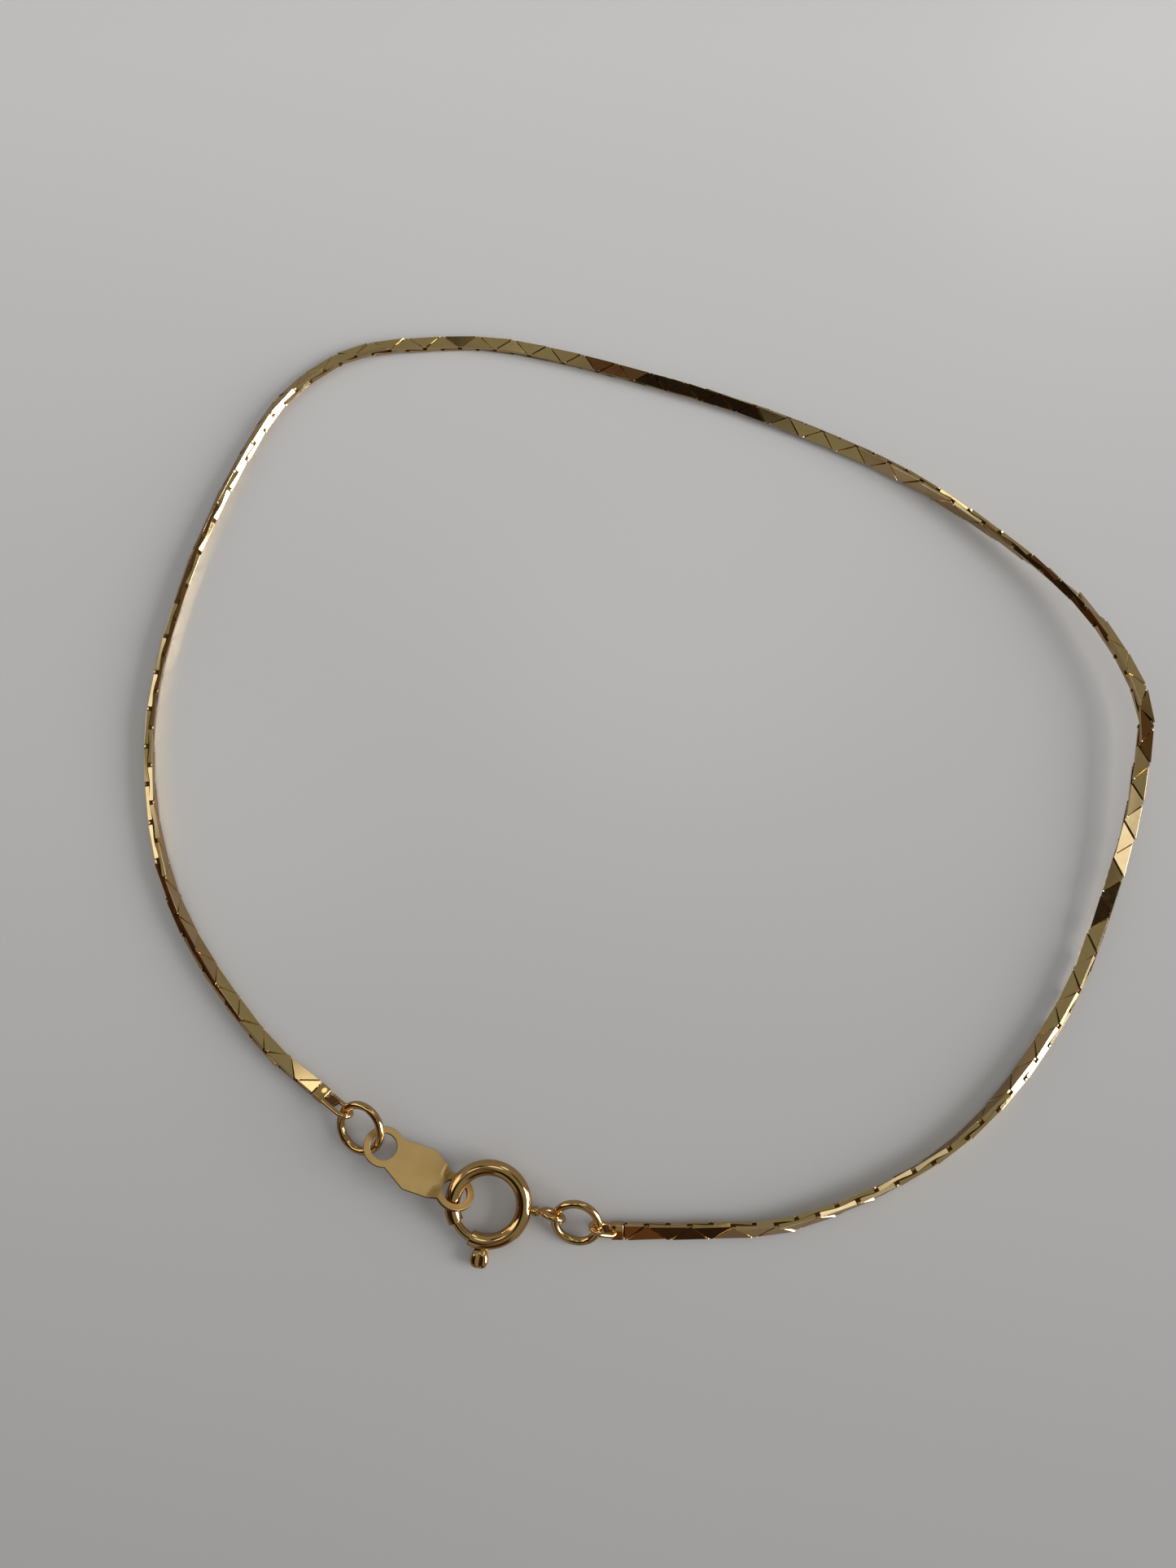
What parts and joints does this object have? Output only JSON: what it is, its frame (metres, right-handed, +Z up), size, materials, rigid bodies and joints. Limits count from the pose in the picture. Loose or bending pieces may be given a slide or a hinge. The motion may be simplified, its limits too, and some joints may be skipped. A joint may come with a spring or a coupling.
{
  "type": "link bracelet",
  "caption": "Fine yellow-gold cobra chain bracelet, twisted along its length, lying closed with a spring ring clasp and a plain tag plate.",
  "frame": {"origin": "middle of the underside of the bracelet as it lies closed on a table", "axes": "+X along the long way across the loop, +Y from the clasp across the loop, +Z up from the table"},
  "size_m": [0.0636, 0.0606, 0.002],
  "materials": {
    "chain_gold": "polished yellow gold, lightly scratched",
    "polished_gold": "polished yellow gold",
    "satin_gold": "satin yellow gold"
  },
  "bodies": {
    "bracelet": {"cobra_chain": "chain_gold", "end_loop_left": "polished_gold", "end_loop_right": "polished_gold", "jump_ring_left": "polished_gold", "jump_ring_right": "polished_gold", "tag_plate": "satin_gold", "spring_ring": "polished_gold"},
    "latch": {"latch": "polished_gold"}
  },
  "joints": [
    {"name": "latch_slide", "type": "hinge", "parent": "bracelet", "child": "latch", "pos_m": [-0.0093, -0.02676, 0.00081], "axis": [0, -0.1392, 0.9903], "range_deg": [0, 40], "stiffness_Nm_per_rad": 0.001}
  ]
}
